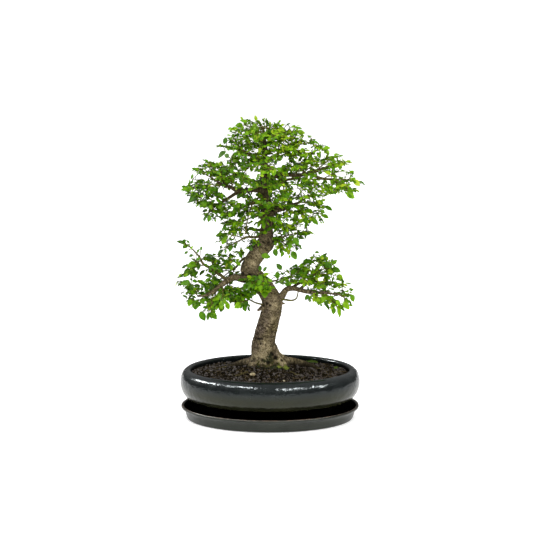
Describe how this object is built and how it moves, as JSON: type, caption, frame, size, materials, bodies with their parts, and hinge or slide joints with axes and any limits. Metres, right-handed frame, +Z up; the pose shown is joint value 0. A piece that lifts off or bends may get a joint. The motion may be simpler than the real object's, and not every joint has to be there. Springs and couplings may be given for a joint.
{
  "type": "zelkova bonsai tree",
  "caption": "Zelkova bonsai with a leaning trunk, layered leafy branches and surface roots, in a low oval glazed pot on its saucer.",
  "frame": {"origin": "centre of the saucer's flat underside", "axes": "+Z up along the tree, +X to the right of the front view along the pot's length, +Y to the back"},
  "size_m": [0.2971, 0.229, 0.4732],
  "materials": {
    "saucer_glaze": "satin",
    "pot_glaze": "gloss",
    "soil": "matte",
    "pale_stone": "matte",
    "bark": "matte",
    "netting": "matte",
    "leaf": "satin"
  },
  "bodies": {
    "root": {"drainage_net_left": "netting", "drainage_net_right": "netting", "leafy_stem_crown_back_low": "leaf", "leafy_stem_crown_back_up": "leaf", "leafy_stem_crown_front_low": "leaf", "leafy_stem_crown_front_up": "leaf", "leafy_stem_crown_left_back": "leaf", "leafy_stem_crown_left_up": "leaf", "leafy_stem_crown_low_left": "leaf", "leafy_stem_crown_low_right": "leaf", "leafy_stem_crown_mid_left": "leaf", "leafy_stem_crown_right_back": "leaf", "leafy_stem_crown_right_out": "leaf", "leafy_stem_crown_right_up": "leaf", "leafy_stem_low_back": "leaf", "leafy_stem_low_left_back": "leaf", "leafy_stem_low_left_thin": "leaf", "leafy_stem_low_left_up": "leaf", "leafy_stem_low_right_back": "leaf", "leafy_stem_low_right_up": "leaf", "leafy_stem_top": "leaf", "pot": "pot_glaze", "saucer": "saucer_glaze", "soil": "soil", "spray_crown_left_1": "leaf", "spray_crown_left_2": "leaf", "spray_crown_left_3": "leaf", "spray_crown_left_4": "leaf", "spray_crown_left_5": "leaf", "spray_crown_left_low_1": "leaf", "spray_crown_left_low_2": "leaf", "spray_crown_left_low_3": "leaf", "spray_crown_right_1": "leaf", "spray_crown_right_2": "leaf", "spray_crown_right_3": "leaf", "spray_crown_right_4": "leaf", "spray_crown_right_5": "leaf", "spray_crown_right_low_1": "leaf", "spray_crown_right_low_2": "leaf", "spray_crown_right_low_3": "leaf", "spray_crown_right_low_4": "leaf", "spray_low_left_1": "leaf", "spray_low_left_2": "leaf", "spray_low_left_3": "leaf", "spray_low_left_4": "leaf", "spray_low_left_5": "leaf", "spray_low_left_6": "leaf", "spray_low_left_7": "leaf", "spray_low_left_8": "leaf", "spray_low_right_1": "leaf", "spray_low_right_2": "leaf", "spray_low_right_3": "leaf", "spray_low_right_4": "leaf", "spray_low_right_5": "leaf", "spray_low_right_6": "leaf", "spray_trunk_1": "leaf", "spray_trunk_2": "leaf", "stone": "pale_stone", "trunk": "bark"}
  },
  "joints": []
}
